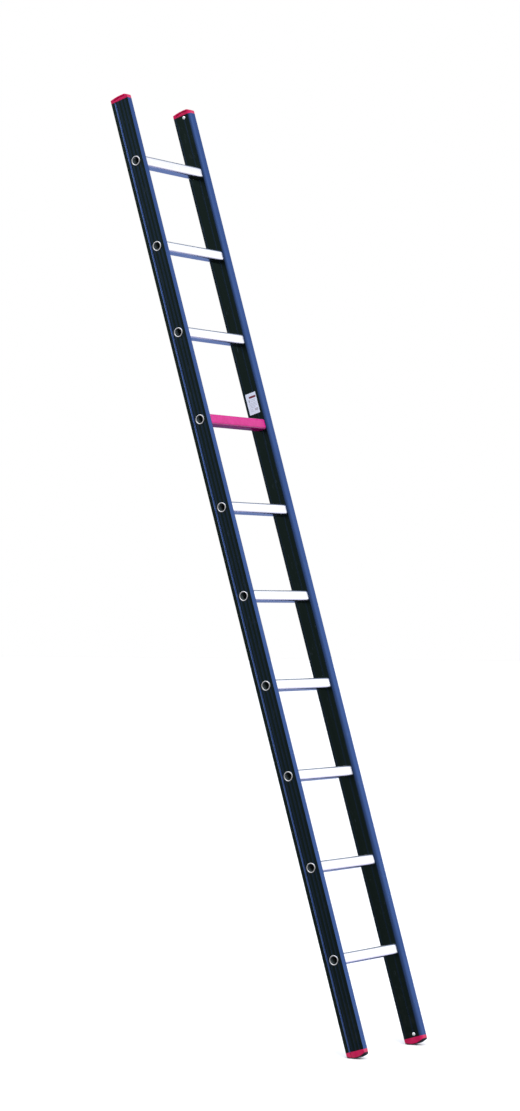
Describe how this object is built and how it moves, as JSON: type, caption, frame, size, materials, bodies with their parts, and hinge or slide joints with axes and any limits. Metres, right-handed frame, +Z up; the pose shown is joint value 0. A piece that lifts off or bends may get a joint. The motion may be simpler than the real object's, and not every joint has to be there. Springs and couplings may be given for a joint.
{
  "type": "straight ladder",
  "caption": "Single-section leaning ladder: hollow dark stiles, square flared rungs with one red safe-standing rung, red end caps and rocker feet with ribbed rubber soles.",
  "frame": {"origin": "on the floor, midway between the lines on which the two feet stand", "axes": "+Z up, +X along the rungs towards the right stile, -Y towards the climber; the ladder leans 16.3 degrees towards +Y"},
  "size_m": [0.3446, 0.8091, 2.6035],
  "materials": {
    "stile_coat": "dark blue-black anodised, satin",
    "rung_metal": "bare mill finish",
    "red_coat": "red powder coat on aluminium",
    "red_plastic": "moulded, satin",
    "sole_rubber": "matt black",
    "rivet": "bright",
    "label_film": "printed film"
  },
  "bodies": {
    "root": {"cap_rivet_left": "rivet", "cap_rivet_right": "rivet", "foot_left": "red_plastic", "foot_right": "red_plastic", "foot_rivet_left": "rivet", "foot_rivet_right": "rivet", "foot_tread_left": "sole_rubber", "foot_tread_right": "sole_rubber", "label": "label_film", "rung_1": "rung_metal", "rung_10": "rung_metal", "rung_2": "rung_metal", "rung_3": "rung_metal", "rung_4": "rung_metal", "rung_5": "rung_metal", "rung_6": "rung_metal", "rung_7": "red_coat", "rung_8": "rung_metal", "rung_9": "rung_metal", "stile_left": "stile_coat", "stile_right": "stile_coat", "top_cap_left": "red_plastic", "top_cap_right": "red_plastic"}
  },
  "joints": []
}
